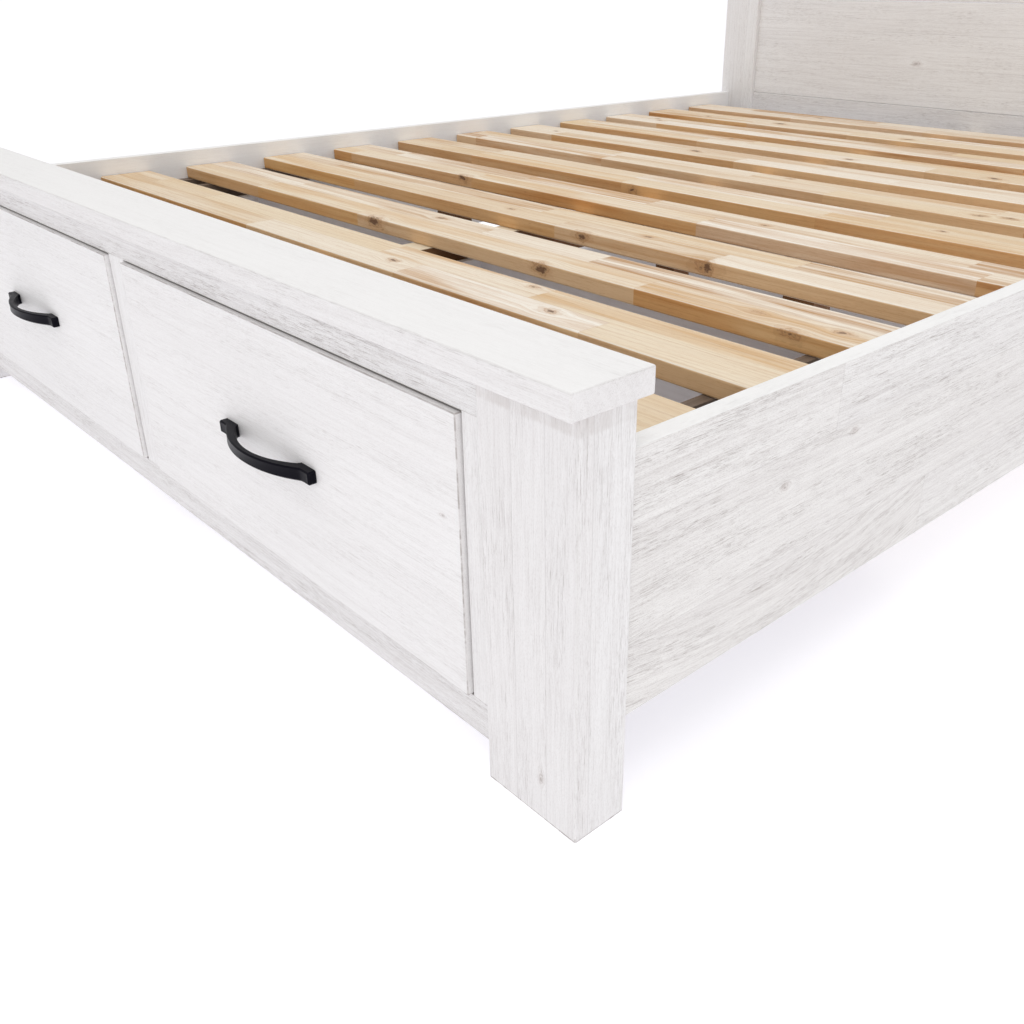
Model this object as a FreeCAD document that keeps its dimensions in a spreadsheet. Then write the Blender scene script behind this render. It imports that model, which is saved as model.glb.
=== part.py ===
import FreeCAD, Part
import os

import Sketcher

# A queen bed frame with a low footboard and two storage drawers in it.
# Millimetres. +Z is up, the foot of the bed faces -Y, and the origin is on the
# floor below the centre of the whole frame's bounding box.

SIZES = {
    # posts and overall width
    "width": 1604,
    "post_width": 111,
    "post_depth": 57,
    "foot_post_height": 380,
    "head_post_height": 1150,
    "inner_length": 2082,
    "post_ease": 2,
    "board_ease": 1.5,
    # caps on the footboard and on the headboard
    "cap_thickness": 22,
    "cap_side": 5,
    "cap_outer": 13,
    "cap_inner": 12,
    "cap_ease": 2,
    # face frame of the footboard
    "recess": 8,
    "frame_thickness": 22,
    "lower_rail_base": 31,
    "opening_base": 69,
    "opening_height": 273,
    "side_stile": 27.6,
    "centre_stile": 44,
    # side rails, cleats and slats
    "rail_thickness": 20,
    "rail_base": 92,
    "rail_height": 244,
    "cleat_width": 25,
    "cleat_height": 30,
    "slat_top": 307,
    "slat_thickness": 22,
    "slat_width": 96,
    "slat_pitch": 167.5,
    "first_slat": 117,
    "slat_end_gap": 2,
    "slat_ease": 3,
    "slat_screw_head_radius": 4,
    "slat_screw_head_height": 3,
    "slat_screw_radius": 2,
    "slat_screw_length": 37,
    # centre beam and loose legs
    "beam_width": 44,
    "beam_height": 49.5,
    "beam_leg_first": 1000,
    "beam_leg_pitch": 600,
    "slat_leg_width": 54,
    "slat_leg_depth": 44,
    "slat_leg_inner": 393,
    "slat_leg_back": 815,
    # drawer housing
    "housing_depth": 530,
    "housing_panel": 15,
    "housing_side_gap": 12,
    "partition_thickness": 20,
    "batten_base": 100,
    "batten_height": 60,
    "tie_height": 120,
    # drawers
    "drawer_gap": 2,
    "front_thickness": 18,
    "front_proud": 5.5,
    "front_ease": 1,
    "box_depth": 519.5,
    "box_base": 85,
    "box_height": 177,
    "box_board": 12,
    "bottom_thickness": 5,
    "bottom_rise": 10,
    "groove_depth": 6,
    "groove_play": 0.2,
    # drawer runners
    "runner_gap": 12.7,
    "runner_height": 30,
    "runner_length": 500,
    "runner_steel": 1.2,
    "runner_reach": 10,
    "runner_base": 115,
    "ledge_height": 14,
    "ledge_setback": 3,
    "ledge_web": 11,
    "roller_radius": 6,
    "roller_width": 5,
    "roller_inset": 20,
    "roller_play": 0.3,
    "roller_offset": 1.5,
    # bow handles
    "handle_length": 183,
    "handle_projection": 30,
    "handle_height": 14,
    "handle_foot": 26,
    "handle_foot_depth": 9.2,
    "handle_foot_flat": 15.5,
    "handle_chamfer": 1.5,
    "handle_strap": 6.5,
    "handle_inner_foot": 2,
    "handle_screw_pitch": 160,
    "handle_screw_radius": 2,
    "handle_screw_head": 2.6,
    "handle_thread_play": 0.1,
    "handle_hole_radius": 2.3,
    "handle_screw_depth": 6,
    # corner brackets and their screws
    "bracket_leg": 60,
    "bracket_steel": 3,
    "bracket_height": 120,
    "bracket_base": 130,
    "bracket_hole_radius": 3.3,
    "bracket_hole_inset": 25,
    "bolt_radius": 3,
    "bolt_length": 16,
    "bolt_head_radius": 6.5,
    "bolt_head_height": 4.5,
    # headboard
    "head_top_rail": 80,
    "head_low_rail_base": 230,
    "head_low_rail": 110,
    "plank_thickness": 16,
    "plank_gap": 1,
}
SLAT_COUNT = 12
PLANK_NAMES = ("lower", "middle", "upper")
SIDES = {"left": -1, "right": 1}

os.makedirs("parts", exist_ok=True)
doc = FreeCAD.newDocument("bed_frame")
sheet = doc.addObject("Spreadsheet::Sheet", "Size")
for row, (alias, value) in enumerate(SIZES.items(), start=1):
    sheet.set(f"A{row}", alias)
    sheet.set(f"B{row}", str(value))
    sheet.setAlias(f"B{row}", alias)
doc.recompute()

# Places that several pieces share, as formulas over the sheet.
HALF = "(Size.width / 2)"
POST_INSIDE = f"({HALF} - Size.post_width)"
RAIL_INSIDE = f"({HALF} - Size.recess - Size.rail_thickness)"
HANDLE_REACH = "(Size.handle_projection - Size.recess + Size.front_proud)"
TOTAL_LENGTH = f"({HANDLE_REACH} + 2 * Size.post_depth + Size.inner_length + Size.cap_outer)"
FOOT = f"({HANDLE_REACH} - {TOTAL_LENGTH} / 2)"
FOOT_INSIDE = f"({FOOT} + Size.post_depth)"
HEAD = f"({FOOT_INSIDE} + Size.inner_length)"
FRAME_FRONT = f"({FOOT} + Size.recess)"
FRAME_BACK = f"({FRAME_FRONT} + Size.frame_thickness)"
SLAT_UNDERSIDE = "(Size.slat_top - Size.slat_thickness)"
OPENING_TOP = "(Size.opening_base + Size.opening_height)"
OPENING_INNER = "(Size.centre_stile / 2)"
OPENING_OUTER = f"({POST_INSIDE} - Size.side_stile)"
DRAWER_FACE = f"({FRAME_FRONT} - Size.front_proud)"
BOX_FRONT = f"({DRAWER_FACE} + Size.front_thickness)"
BOX_INNER = f"({OPENING_INNER} + Size.runner_gap)"
BOX_OUTER = f"({OPENING_OUTER} - Size.runner_gap)"
BOX_WIDTH = f"({BOX_OUTER} - {BOX_INNER})"
BOTTOM_BASE = "(Size.box_base + Size.bottom_rise)"
BOTTOM_TOP = f"({BOTTOM_BASE} + Size.bottom_thickness)"

UP = FreeCAD.Vector(0, 0, 1)
ALONG_X = FreeCAD.Vector(1, 0, 0)
ALONG_Y = FreeCAD.Vector(0, 1, 0)
subparts = []


def amount(formula):
    """The present value of a formula over the sheet."""
    return float(sheet.evalExpression(formula))


def place(obj, x, y, z, axis=UP, angle=0):
    """Turn an object about an axis and tie its place to three formulas."""
    obj.Placement = FreeCAD.Placement(FreeCAD.Vector(), FreeCAD.Rotation(axis, angle))
    obj.setExpression("Placement.Base.x", x)
    obj.setExpression("Placement.Base.y", y)
    obj.setExpression("Placement.Base.z", z)


def outline(body, corners, radii=None):
    """A closed sketch on the body's XY plane through corners given as formulas.

    radii maps the number of a segment to the radius of the arc that it is,
    bulging away from the X axis; the other segments are straight.
    """
    radii = radii or {}
    sketch = body.newObject("Sketcher::SketchObject", body.Name + "_sketch")
    planes = [item for item in body.Origin.OriginFeatures if item.Role == "XY_Plane"]
    sketch.AttachmentSupport = (planes[0], [""])
    sketch.MapMode = "FlatFace"
    points = [FreeCAD.Vector(amount(x), amount(y), 0) for x, y in corners]
    for number, start in enumerate(points):
        end = points[(number + 1) % len(points)]
        if number in radii:
            radius = amount(radii[number])
            half_chord = start.distanceToPoint(end) / 2
            rise = radius - (radius ** 2 - half_chord ** 2) ** 0.5
            crown = (start + end) / 2 + FreeCAD.Vector(0, rise, 0)
            sketch.addGeometry(Part.Arc(start, crown, end))
        else:
            sketch.addGeometry(Part.LineSegment(start, end))
    doc.recompute()
    starts = [corner_of(sketch, number, point) for number, point in enumerate(points)]
    for number in range(len(points)):
        following = (number + 1) % len(points)
        end_vertex = 3 - starts[number]
        joint = (number, end_vertex, following, starts[following])
        sketch.addConstraint(Sketcher.Constraint("Coincident", *joint))
    for number, (x, y) in enumerate(corners):
        tie(sketch, "DistanceX", -2, number, starts[number], x)
        tie(sketch, "DistanceY", -1, number, starts[number], y)
    for number, radius in radii.items():
        index = sketch.addConstraint(Sketcher.Constraint("Radius", number, amount(radius)))
        sketch.setExpression(f"Constraints[{index}]", radius)
    return sketch


def corner_of(sketch, number, point):
    """Which end, 1 or 2, of a sketch's segment lies at a point."""
    start = sketch.getPoint(number, 1)
    return 1 if start.distanceToPoint(point) < 1e-6 else 2


def tie(sketch, kind, axis, number, vertex, formula):
    """Hold one end of a segment at a distance from the origin, or on an axis at zero."""
    value = amount(formula)
    if abs(value) < 1e-9:
        sketch.addConstraint(Sketcher.Constraint("PointOnObject", number, vertex, axis))
        return
    origin = (-1, 1, number, vertex, value)
    index = sketch.addConstraint(Sketcher.Constraint(kind, *origin))
    sketch.setExpression(f"Constraints[{index}]", formula)


def extrusion(label, corners, height, radii=None, kept=True):
    """A body padded upward from an outline; kept bodies become sub-parts."""
    body = doc.addObject("PartDesign::Body", label)
    pad = body.newObject("PartDesign::Pad", label + "_pad")
    pad.Profile = outline(body, corners, radii)
    pad.setExpression("Length", height)
    if kept:
        subparts.append(body)
    return body


def board(label, size, corner, kept=True):
    """A straight board of size (x, y, z) whose lowest corner is at (x, y, z)."""
    length, width, height = size
    corners = [("0", "0"), (length, "0"), (length, width), ("0", width)]
    body = extrusion(label, corners, height, kept=kept)
    place(body, *corner)
    return body


def ease(body, radius, wanted):
    """Round the straight edges of a body that a test picks."""
    doc.recompute()
    base = body.Tip
    names = []
    for number, edge in enumerate(base.Shape.Edges, start=1):
        start, end = edge.Vertexes[0].Point, edge.Vertexes[-1].Point
        if edge.Curve.TypeId == "Part::GeomLine" and wanted(start, end):
            names.append(f"Edge{number}")
    fillet = body.newObject("PartDesign::Fillet", body.Name + "_ease")
    fillet.Base = (base, names)
    fillet.setExpression("Radius", radius)
    body.Tip = fillet


def runs(direction):
    """A test for edges that run along one of the three directions."""
    return lambda start, end: abs(abs((end - start).normalize().dot(direction)) - 1) < 1e-6


def on_front(start, end):
    """A test for edges on a body's front face, at its own Y of zero."""
    return abs(start.y) < 1e-6 and abs(end.y) < 1e-6


def any_edge(start, end):
    """A test that every edge passes."""
    return True


def remove(body, kind, sizes, corner, axis=UP, angle=0):
    """Cut a box or a cylinder of given sizes out of a body."""
    doc.recompute()
    before = body.Shape.Volume
    tool = body.newObject(f"PartDesign::Subtractive{kind}", f"{body.Name}_cut")
    for name, formula in sizes.items():
        tool.setExpression(name, formula)
    place(tool, *corner, axis=axis, angle=angle)
    body.Tip = tool
    doc.recompute()
    if body.Shape.Volume > before - 1:
        raise RuntimeError(f"the cut in {body.Name} takes nothing away")


def copies(label, master, places):
    """A sub-part of separate copies of one object, each (x, y, z, axis, angle)."""
    links = []
    for number, (x, y, z, axis, angle) in enumerate(places, start=1):
        link = doc.addObject("App::Link", f"{label}_{number}")
        link.LinkedObject = master
        link.LinkTransform = False
        place(link, x, y, z, axis, angle)
        links.append(link)
    return links


def group(label, members):
    """A sub-part made of separate solids."""
    compound = doc.addObject("Part::Compound", label)
    compound.Links = members
    subparts.append(compound)
    return compound


def low_edge(side, inner, width):
    """Lowest x of a piece whose inner edge is `inner` from the bed's centre line."""
    return inner if side > 0 else f"-({inner}) - ({width})"


def screw(label, head_radius, head_height, radius, length):
    """A screw standing on its head, its shank up the Z axis."""
    head = doc.addObject("Part::Cylinder", label + "_head")
    head.setExpression("Radius", head_radius)
    head.setExpression("Height", head_height)
    shank = doc.addObject("Part::Cylinder", label + "_shank")
    shank.setExpression("Radius", radius)
    shank.setExpression("Height", f"{head_height} + {length}")
    whole = doc.addObject("Part::Fuse", label)
    whole.Base = head
    whole.Tool = shank
    return whole


def make_posts():
    """Four posts: short ones at the foot, tall ones at the head."""
    rows = {"foot": (FOOT, "Size.foot_post_height"), "head": (HEAD, "Size.head_post_height")}
    for row, (y, height) in rows.items():
        for name, side in SIDES.items():
            size = ("Size.post_width", "Size.post_depth", height)
            x = low_edge(side, POST_INSIDE, "Size.post_width")
            post = board(f"{row}_post_{name}", size, (x, y, "0"))
            ease(post, "Size.post_ease", runs(UP))


def make_cap(label, y, z):
    """A cap board over one end of the bed, proud of the posts all round."""
    length = "Size.width + 2 * Size.cap_side"
    depth = "Size.cap_outer + Size.post_depth + Size.cap_inner"
    cap = board(label, (length, depth, "Size.cap_thickness"), (f"-({length}) / 2", y, z))
    ease(cap, "Size.cap_ease", any_edge)


def make_face_frame():
    """The footboard's face frame: two rails and three stiles round the drawers."""
    span = f"2 * {POST_INSIDE}"
    thickness = "Size.frame_thickness"
    top_height = f"Size.foot_post_height - {OPENING_TOP}"
    low_height = "Size.opening_base - Size.lower_rail_base"
    left = f"-{POST_INSIDE}"
    board("footboard_top_rail", (span, thickness, top_height), (left, FRAME_FRONT, OPENING_TOP))
    base = "Size.lower_rail_base"
    board("footboard_bottom_rail", (span, thickness, low_height), (left, FRAME_FRONT, base))
    height = "Size.opening_height"
    for name, side in SIDES.items():
        x = low_edge(side, OPENING_OUTER, "Size.side_stile")
        size = ("Size.side_stile", thickness, height)
        board(f"footboard_stile_{name}", size, (x, FRAME_FRONT, "Size.opening_base"))
    size = ("Size.centre_stile", thickness, height)
    corner = (f"-{OPENING_INNER}", FRAME_FRONT, "Size.opening_base")
    board("footboard_stile_centre", size, corner)


def make_side_rails():
    """The side rails, with a cleat screwed inside each for the slats to lie on."""
    for name, side in SIDES.items():
        x = low_edge(side, RAIL_INSIDE, "Size.rail_thickness")
        size = ("Size.rail_thickness", "Size.inner_length", "Size.rail_height")
        rail = board(f"side_rail_{name}", size, (x, FOOT_INSIDE, "Size.rail_base"))
        ease(rail, "Size.board_ease", runs(ALONG_Y))
        x = low_edge(side, f"{RAIL_INSIDE} - Size.cleat_width", "Size.cleat_width")
        size = ("Size.cleat_width", "Size.inner_length", "Size.cleat_height")
        z = f"{SLAT_UNDERSIDE} - Size.cleat_height"
        board(f"slat_cleat_{name}", size, (x, FOOT_INSIDE, z))


def slat_front(number):
    """Formula for the front edge of a slat, counted from 0 at the foot."""
    return f"{FOOT} + Size.first_slat + {number} * Size.slat_pitch"


def make_slats():
    """Cross slats with eased long edges, and the screws that hold their ends."""
    half_length = f"({RAIL_INSIDE} - Size.slat_end_gap)"
    size = (f"2 * {half_length}", "Size.slat_width", "Size.slat_thickness")
    screw_places = []
    for number in range(SLAT_COUNT):
        front = slat_front(number)
        slat = board(f"slat_{number + 1:02d}", size, (f"-{half_length}", front, SLAT_UNDERSIDE))
        ease(slat, "Size.slat_ease", runs(ALONG_X))
        for side in SIDES.values():
            x = f"{side} * ({RAIL_INSIDE} - Size.cleat_width / 2)"
            y = f"{front} + Size.slat_width / 2"
            z = f"{SLAT_UNDERSIDE} - Size.cleat_height"
            screw_places.append((x, y, z, UP, 0))
    sizes = ("Size.slat_screw_head_radius", "Size.slat_screw_head_height")
    sizes += ("Size.slat_screw_radius", "Size.slat_screw_length")
    master = screw("slat_screw", *sizes)
    group("slat_screws", copies("slat_screw_at", master, screw_places))


def make_beam():
    """The centre beam under the slats, its two legs, and two legs under a slat."""
    z = f"({SLAT_UNDERSIDE} - Size.beam_height)"
    length = f"{HEAD} + Size.recess - {FRAME_BACK}"
    size = ("Size.beam_width", length, "Size.beam_height")
    beam = board("centre_beam", size, ("-Size.beam_width / 2", FRAME_BACK, z))
    ease(beam, "Size.board_ease", runs(ALONG_Y))
    legs = []
    for number in range(2):
        y = f"{FOOT} + Size.beam_leg_first + {number} * Size.beam_leg_pitch"
        size = ("Size.beam_width", "Size.beam_width", z)
        corner = ("-Size.beam_width / 2", y, "0")
        legs.append(board(f"beam_leg_{number + 1}", size, corner, kept=False))
    group("centre_legs", legs)
    legs = []
    for name, side in SIDES.items():
        x = low_edge(side, "Size.slat_leg_inner", "Size.slat_leg_width")
        size = ("Size.slat_leg_width", "Size.slat_leg_depth", SLAT_UNDERSIDE)
        legs.append(board(f"slat_leg_{name}", size, (x, f"{FOOT} + Size.slat_leg_back", "0"), kept=False))
    group("slat_legs", legs)


def make_headboard():
    """The headboard between the tall posts: two rails and the planks between them."""
    span = f"2 * {POST_INSIDE}"
    left = f"-{POST_INSIDE}"
    front = f"{HEAD} + Size.recess"
    thickness = "Size.frame_thickness"
    top_base = "(Size.head_post_height - Size.head_top_rail)"
    corner = (left, front, top_base)
    rail = board("headboard_top_rail", (span, thickness, "Size.head_top_rail"), corner)
    ease(rail, "Size.board_ease", runs(ALONG_X))
    corner = (left, front, "Size.head_low_rail_base")
    rail = board("headboard_bottom_rail", (span, thickness, "Size.head_low_rail"), corner)
    ease(rail, "Size.board_ease", runs(ALONG_X))
    field_base = "(Size.head_low_rail_base + Size.head_low_rail)"
    pitch = f"(({top_base} - {field_base}) / {len(PLANK_NAMES)})"
    inset = "(Size.frame_thickness - Size.plank_thickness) / 2"
    for number, name in enumerate(PLANK_NAMES):
        z = f"{field_base} + {number} * {pitch} + Size.plank_gap / 2"
        size = (span, "Size.plank_thickness", f"{pitch} - Size.plank_gap")
        plank = board(f"headboard_plank_{name}", size, (left, f"{front} + {inset}", z))
        ease(plank, "Size.board_ease", runs(ALONG_X))


def make_housing():
    """Fixed boards behind the footboard that carry the drawers' runners."""
    base = "Size.lower_rail_base"
    panel_inner = f"({OPENING_OUTER} + Size.housing_side_gap)"
    for name, side in SIDES.items():
        x = low_edge(side, panel_inner, "Size.housing_panel")
        size = ("Size.housing_panel", "Size.housing_depth", f"{SLAT_UNDERSIDE} - {base}")
        board(f"housing_side_{name}", size, (x, FRAME_BACK, base))
    height = f"{SLAT_UNDERSIDE} - Size.beam_height - {base}"
    size = ("Size.partition_thickness", "Size.housing_depth", height)
    board("housing_partition", size, ("-Size.partition_thickness / 2", FRAME_BACK, base))
    back = f"{FRAME_BACK} + Size.housing_depth"
    half = f"({panel_inner} + Size.housing_panel)"
    size = (f"2 * {half}", "Size.housing_panel", "Size.tie_height")
    board("housing_back_rail", size, (f"-{half}", back, "0"))
    battens = []
    inner_batten = f"({OPENING_INNER} - Size.partition_thickness / 2)"
    for name, side in SIDES.items():
        rows = {"inner": ("Size.partition_thickness / 2", inner_batten)}
        rows["outer"] = (OPENING_OUTER, "Size.housing_side_gap")
        for row, (inner, width) in rows.items():
            size = (width, "Size.housing_depth", "Size.batten_height")
            corner = (low_edge(side, inner, width), FRAME_BACK, "Size.batten_base")
            battens.append(board(f"batten_{row}_{name}", size, corner, kept=False))
    group("runner_battens", battens)


def roller_on(label):
    """A nylon roller lying along X, its axle's place at its own origin."""
    roller = doc.addObject("Part::Cylinder", label)
    roller.setExpression("Radius", "Size.roller_radius")
    roller.setExpression("Height", "Size.roller_width")
    return roller


def make_fixed_runners():
    """Steel channels on the battens, open towards the drawer, each with a roller."""
    steel, reach, height = "Size.runner_steel", "Size.runner_reach", "Size.runner_height"
    inside = f"{height} - {steel}"
    corners = [("0", "0"), (reach, "0"), (reach, steel), (steel, steel)]
    corners += [(steel, inside), (reach, inside), (reach, height), ("0", height)]
    channel = extrusion("runner_channel", corners, "Size.runner_length", kept=False)
    roller = roller_on("channel_roller")
    channels = []
    rollers = []
    roller_z = f"Size.runner_base + {steel} + Size.roller_radius + Size.roller_play"
    roller_y = f"{FRAME_BACK} + Size.roller_inset"
    for side in SIDES.values():
        for inner, facing in ((OPENING_INNER, side), (OPENING_OUTER, -side)):
            x = f"{side} * {inner}"
            angle = 0 if facing > 0 else 180
            y = f"{FRAME_BACK} + Size.runner_length" if facing > 0 else FRAME_BACK
            channels.append((x, y, "Size.runner_base", angle))
            gap = f"({steel} + Size.roller_play)"
            offset = gap if facing > 0 else f"-{gap} - Size.roller_width"
            rollers.append((f"{x} + {offset}", roller_y, roller_z, ALONG_Y, 90))
    links = []
    for number, (x, y, z, angle) in enumerate(channels, start=1):
        link = copies(f"channel_{number}", channel, [(x, y, z, ALONG_X, 90)])[0]
        turn = FreeCAD.Rotation(UP, angle) * FreeCAD.Rotation(ALONG_X, 90)
        link.Placement = FreeCAD.Placement(link.Placement.Base, turn)
        links.append(link)
    links += copies("channel_roller_at", roller, rollers)
    group("runner_channels", links)


def make_drawer(name, side):
    """One drawer: front, four box boards, handle, screws and the moving runners."""
    gap = "Size.drawer_gap"
    width = f"({OPENING_OUTER} - {OPENING_INNER} - 2 * {gap})"
    x = low_edge(side, f"{OPENING_INNER} + {gap}", width)
    z = f"(Size.opening_base + {gap})"
    size = (width, "Size.front_thickness", f"Size.opening_height - 2 * {gap}")
    front = board(f"drawer_front_{name}", size, (x, DRAWER_FACE, z))
    ease(front, "Size.front_ease", on_front)
    groove_height = "Size.bottom_thickness + Size.groove_play"
    groove_base = f"{BOTTOM_BASE} - Size.groove_play / 2"
    box_in_front = f"(Size.runner_gap - {gap})"
    inside = f"({BOX_WIDTH} - 2 * Size.box_board)"
    sizes = {"Length": f"{inside} + 2 * Size.groove_depth", "Width": "Size.groove_depth"}
    sizes["Height"] = groove_height
    cut_x = f"{box_in_front} + Size.box_board - Size.groove_depth"
    cut_y = "Size.front_thickness - Size.groove_depth"
    remove(front, "Box", sizes, (cut_x, cut_y, f"{groove_base} - {z}"))
    for half in (-1, 1):
        cut_x = f"{width} / 2 + {half} * Size.handle_screw_pitch / 2"
        sizes = {"Radius": "Size.handle_hole_radius", "Height": "Size.front_thickness"}
        middle = (cut_x, "Size.front_thickness", f"Size.opening_height / 2 - {gap}")
        remove(front, "Cylinder", sizes, middle, ALONG_X, 90)
    make_box(name, side, inside, groove_height, groove_base)
    make_handle(name, side)
    make_moving_runners(name, side)


def make_box(name, side, inside, groove_height, groove_base):
    """The drawer's box: two grooved sides, a back, and a bottom panel in the grooves."""
    rows = {"inner": (BOX_INNER, -side), "outer": (f"({BOX_OUTER} - Size.box_board)", side)}
    for row, (inner, facing) in rows.items():
        corner = (low_edge(side, inner, "Size.box_board"), BOX_FRONT, "Size.box_base")
        size = ("Size.box_board", "Size.box_depth", "Size.box_height")
        wall = board(f"drawer_side_{row}_{name}", size, corner)
        ease(wall, "Size.board_ease", lambda start, end: is_top_rim(wall, start, end))
        sizes = {"Length": "Size.groove_depth", "Width": "Size.box_depth"}
        sizes["Height"] = groove_height
        cut_x = "0" if facing > 0 else "Size.box_board - Size.groove_depth"
        remove(wall, "Box", sizes, (cut_x, "0", f"{groove_base} - Size.box_base"))
    x = low_edge(side, f"({BOX_INNER} + Size.box_board)", inside)
    height = f"Size.box_base + Size.box_height - {BOTTOM_TOP} - Size.groove_play / 2"
    y = f"{BOX_FRONT} + Size.box_depth - Size.box_board"
    z = f"{BOTTOM_TOP} + Size.groove_play / 2"
    board(f"drawer_back_{name}", (inside, "Size.box_board", height), (x, y, z))
    play = "Size.groove_play"
    width = f"({inside} + 2 * Size.groove_depth - {play})"
    x = low_edge(side, f"({BOX_INNER} + Size.box_board - Size.groove_depth + {play} / 2)", width)
    length = f"Size.box_depth + Size.groove_depth - {play}"
    y = f"{BOX_FRONT} - Size.groove_depth + {play}"
    size = (width, length, "Size.bottom_thickness")
    board(f"drawer_bottom_{name}", size, (x, y, BOTTOM_BASE))


def is_top_rim(body, start, end):
    """Whether an edge is one of the two long top edges of a drawer side."""
    top = body.Tip.Shape.BoundBox.ZMax
    return abs(start.z - top) < 1e-6 and abs(end.z - top) < 1e-6 and abs(start.x - end.x) < 1e-6


def arc_radius(chord, rise):
    """Formula for the radius of an arc from its chord and its rise."""
    return f"(({chord}) * ({chord}) / 4 + ({rise}) * ({rise})) / (2 * ({rise}))"


def make_handle(name, side):
    """A cast bow handle on two feet, with the two screws that hold it."""
    middle = f"{side} * ({OPENING_INNER} + {OPENING_OUTER}) / 2"
    length, foot = "Size.handle_length", "Size.handle_foot"
    deep, flat, lift = "Size.handle_foot_depth", "Size.handle_foot_flat", "Size.handle_inner_foot"
    end = "Size.handle_chamfer"
    corners = [("0", "0"), ("0", f"{deep} - {end}"), (end, deep), (flat, deep)]
    corners += [(f"{length} - {flat}", deep), (f"{length} - {end}", deep)]
    corners += [(length, f"{deep} - {end}"), (length, "0"), (f"{length} - {foot}", "0")]
    corners += [(f"{length} - {foot}", lift), (foot, lift), (foot, "0")]
    outer = arc_radius(f"{length} - 2 * {flat}", f"Size.handle_projection - {deep}")
    rise = f"Size.handle_projection - Size.handle_strap - {lift}"
    inner = arc_radius(f"{length} - 2 * {foot}", rise)
    handle = extrusion(f"handle_{name}", corners, "Size.handle_height", {3: outer, 9: inner})
    z = "(Size.opening_base + Size.opening_height / 2 - Size.handle_height / 2)"
    place(handle, f"{middle} + {length} / 2", DRAWER_FACE, z, UP, 180)
    doc.recompute()
    screw_places = []
    head = "Size.handle_screw_head"
    for half in (-1, 1):
        x = f"{length} / 2 + {half} * Size.handle_screw_pitch / 2"
        sizes = {"Radius": "Size.handle_screw_radius + Size.handle_thread_play"}
        sizes["Height"] = "Size.handle_screw_depth + 1"
        spot = (x, "Size.handle_screw_depth + 1", "Size.handle_height / 2")
        remove(handle, "Cylinder", sizes, spot, ALONG_X, 90)
        x = f"{middle} + {half} * Size.handle_screw_pitch / 2"
        z = "Size.opening_base + Size.opening_height / 2"
        screw_places.append((x, f"{BOX_FRONT} + {head}", z, ALONG_X, 90))
    length = "Size.front_thickness + Size.handle_screw_depth"
    sizes = ("Size.handle_screw_radius * 2", head, "Size.handle_screw_radius", length)
    master = screw(f"handle_screw_{name}", *sizes)
    group(f"handle_screws_{name}", copies(f"handle_screw_{name}_at", master, screw_places))


def make_moving_runners(name, side):
    """Steel ledges on the drawer's sides that run inside the channels on rollers."""
    steel, web, high = "Size.runner_steel", "Size.ledge_web", "Size.ledge_height"
    reach = "Size.runner_gap - Size.ledge_setback"
    corners = [("0", "0"), (reach, "0"), (reach, steel), (steel, steel)]
    corners += [(steel, web), ("0", web)]
    ledge = extrusion(f"runner_ledge_{name}", corners, "Size.runner_length", kept=False)
    z = f"Size.runner_base + {high}"
    y_far = f"{FRAME_BACK} + Size.runner_length"
    outer_x = f"{side} * {BOX_OUTER}"
    inner_x = f"{side} * {BOX_INNER}"
    links = []
    for number, (x, facing) in enumerate(((outer_x, side), (inner_x, -side)), start=1):
        y = y_far if facing > 0 else FRAME_BACK
        link = copies(f"ledge_{name}_{number}", ledge, [(x, y, z, ALONG_X, 90)])[0]
        turn = FreeCAD.Rotation(UP, 0 if facing > 0 else 180) * FreeCAD.Rotation(ALONG_X, 90)
        link.Placement = FreeCAD.Placement(link.Placement.Base, turn)
        links.append(link)
    roller = roller_on(f"ledge_roller_{name}")
    rollers = []
    for x, facing in ((outer_x, side), (inner_x, -side)):
        gap = f"({steel} + Size.roller_offset)"
        start = f"{x} + {gap}" if facing > 0 else f"{x} - {gap} - Size.roller_width"
        y = f"{FRAME_BACK} + Size.runner_length - Size.roller_inset"
        rollers.append((start, y, f"{z} + {steel} + Size.roller_radius + Size.roller_play", ALONG_Y, 90))
    links += copies(f"ledge_roller_{name}_at", roller, rollers)
    group(f"drawer_runners_{name}", links)


def make_brackets():
    """Steel corner brackets between side rails and posts, with their screws."""
    leg, steel = "Size.bracket_leg", "Size.bracket_steel"
    corners = [("0", "0"), (leg, "0"), (leg, steel), (steel, steel), (steel, leg), ("0", leg)]
    bracket = extrusion("corner_bracket", corners, "Size.bracket_height", kept=False)
    inset = "Size.bracket_hole_inset"
    heights = (inset, f"Size.bracket_height - {inset}")
    sizes = {"Radius": "Size.bracket_hole_radius", "Height": steel}
    for height in heights:
        remove(bracket, "Cylinder", sizes, (f"{leg} - {inset}", steel, height), ALONG_X, 90)
        remove(bracket, "Cylinder", sizes, ("0", f"{leg} - {inset}", height), ALONG_Y, 90)
    corners_of_bed = {(1, 1): 90, (-1, 1): 0, (1, -1): 180, (-1, -1): 270}
    bolt = screw("bracket_bolt", "Size.bolt_head_radius", "Size.bolt_head_height",
                 "Size.bolt_radius", "Size.bolt_length")
    places = []
    bolt_places = []
    far = f"{leg} - {inset}"
    head_out = f"({steel} + Size.bolt_head_height)"
    for (side, end), angle in corners_of_bed.items():
        x = f"{side} * {RAIL_INSIDE}"
        y = FOOT_INSIDE if end > 0 else HEAD
        places.append((x, y, "Size.bracket_base", UP, angle))
        for height in heights:
            z = f"Size.bracket_base + {height}"
            on_post = (f"{x} - {side} * ({far})", f"{y} + {end} * {head_out}", z, ALONG_X, 90 * end)
            on_rail = (f"{x} - {side} * {head_out}", f"{y} + {end} * ({far})", z, ALONG_Y, 90 * side)
            bolt_places += [on_post, on_rail]
    group("corner_brackets", copies("corner_bracket_at", bracket, places))
    group("bracket_bolts", copies("bracket_bolt_at", bolt, bolt_places))


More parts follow.
